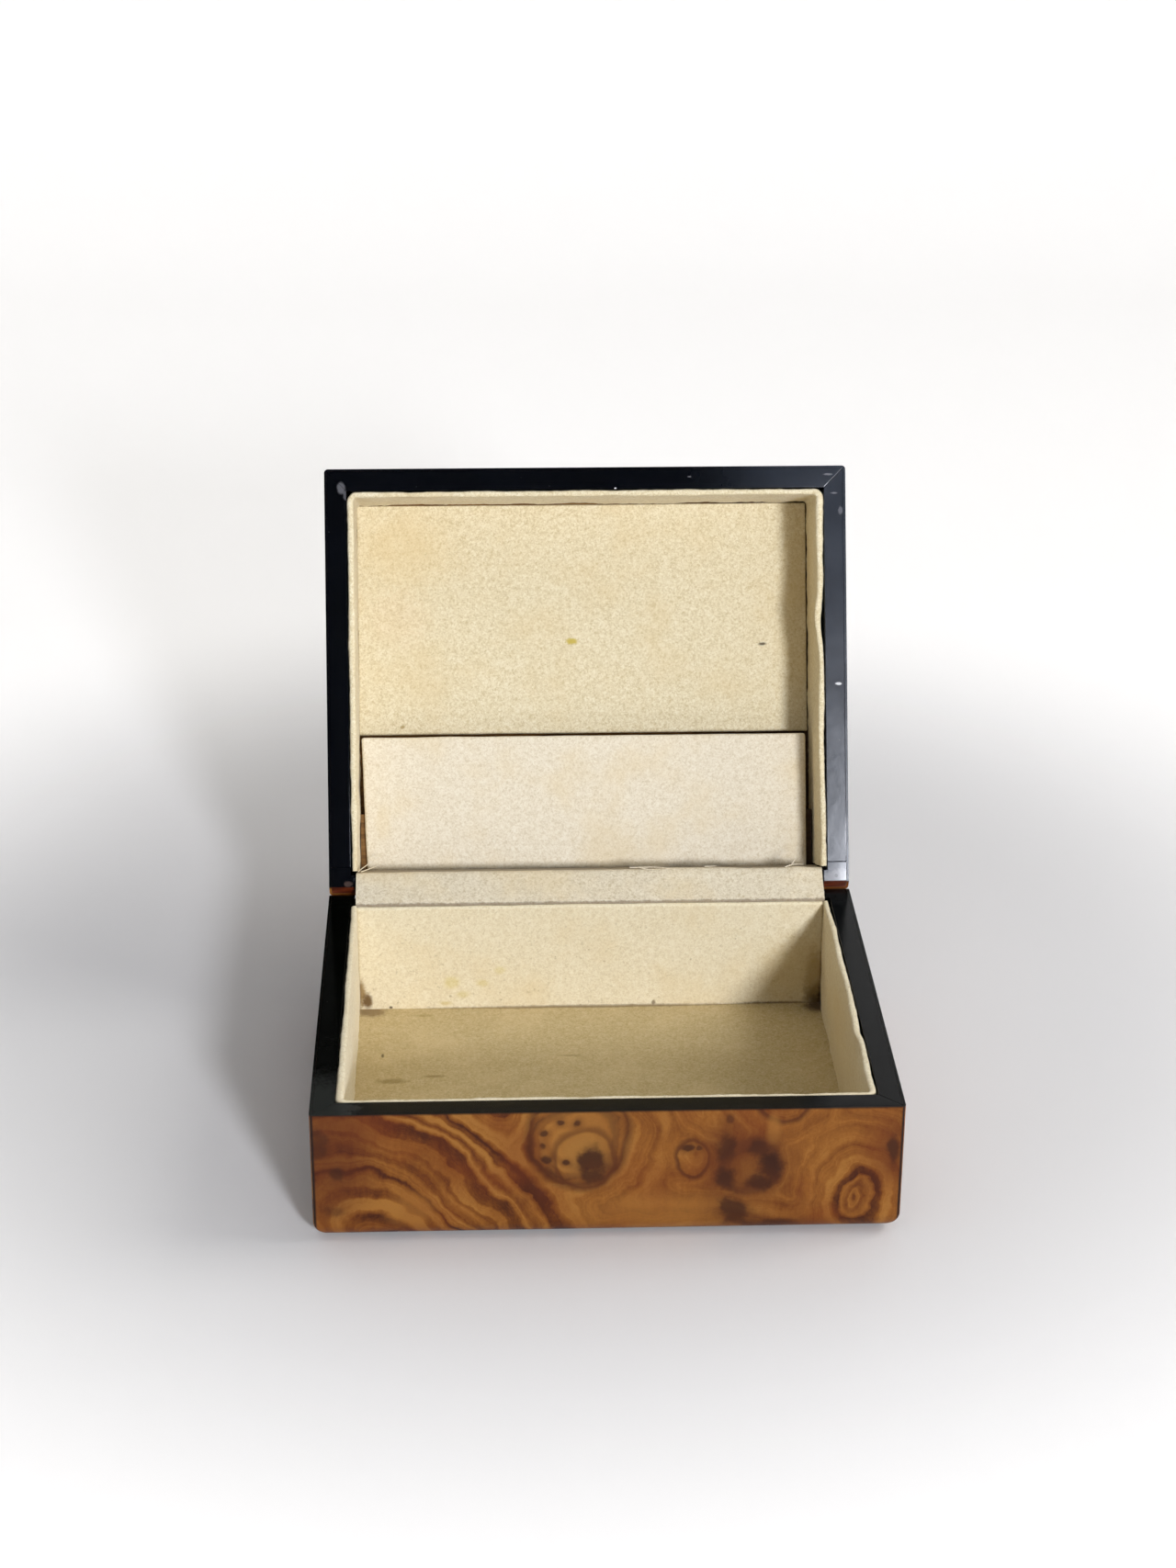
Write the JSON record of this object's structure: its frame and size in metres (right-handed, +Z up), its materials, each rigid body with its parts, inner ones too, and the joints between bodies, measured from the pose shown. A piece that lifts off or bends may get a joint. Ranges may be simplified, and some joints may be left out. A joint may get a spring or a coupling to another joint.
{
  "type": "hinged wooden box",
  "caption": "Hinged presentation box in glossy burl veneer with black rims and a cream velour lining, standing with its lid open.",
  "frame": {"origin": "centre of the underside felt, on the surface that the box stands on", "axes": "+X to the viewer's right along the front, +Y back towards the hinges, +Z up"},
  "size_m": [0.18, 0.2393, 0.1795],
  "materials": {
    "burl_veneer": "high-gloss lacquered burl veneer",
    "black_lacquer": "black lacquer, satin gloss, on solid wood",
    "velour": "short-pile cream velour glued over card",
    "felt": "matt dark felt",
    "raw_wood": "bare thin board",
    "brass": "plain brass, slightly dulled"
  },
  "bodies": {
    "base": {"base_board": "raw_wood", "base_floor_lining": "velour", "base_front_lining": "velour", "base_front_veneer": "burl_veneer", "base_front_wall": "black_lacquer", "base_hinge_side_veneer": "burl_veneer", "base_hinge_wall": "black_lacquer", "base_left_hinge_inner_screw": "brass", "base_left_hinge_leaf": "brass", "base_left_hinge_outer_screw": "brass", "base_left_lining": "velour", "base_left_veneer": "burl_veneer", "base_left_wall": "black_lacquer", "base_rear_lining": "velour", "base_right_hinge_inner_screw": "brass", "base_right_hinge_leaf": "brass", "base_right_hinge_outer_screw": "brass", "base_right_lining": "velour", "base_right_veneer": "burl_veneer", "base_right_wall": "black_lacquer", "base_underside_felt": "felt", "hinge_cloth": "velour", "left_hinge_pin": "brass", "right_hinge_pin": "brass"},
    "lid": {"lid_board": "raw_wood", "lid_front_lining": "velour", "lid_front_veneer": "burl_veneer", "lid_front_wall": "black_lacquer", "lid_hinge_side_veneer": "burl_veneer", "lid_hinge_wall": "black_lacquer", "lid_left_hinge_inner_screw": "brass", "lid_left_hinge_leaf": "brass", "lid_left_hinge_outer_screw": "brass", "lid_left_lining": "velour", "lid_left_pocket_block": "raw_wood", "lid_left_veneer": "burl_veneer", "lid_left_wall": "black_lacquer", "lid_panel": "velour", "lid_pocket_board": "velour", "lid_right_hinge_inner_screw": "brass", "lid_right_hinge_leaf": "brass", "lid_right_hinge_outer_screw": "brass", "lid_right_lining": "velour", "lid_right_pocket_block": "raw_wood", "lid_right_veneer": "burl_veneer", "lid_right_wall": "black_lacquer", "lid_top_veneer": "burl_veneer"}
  },
  "joints": [
    {"name": "lid_hinge", "type": "hinge", "parent": "base", "child": "lid", "pos_m": [0, 0.073, 0.0452], "axis": [1, 0, 0], "range_deg": [0, 113.5], "deforming": ["hinge_cloth"]}
  ]
}
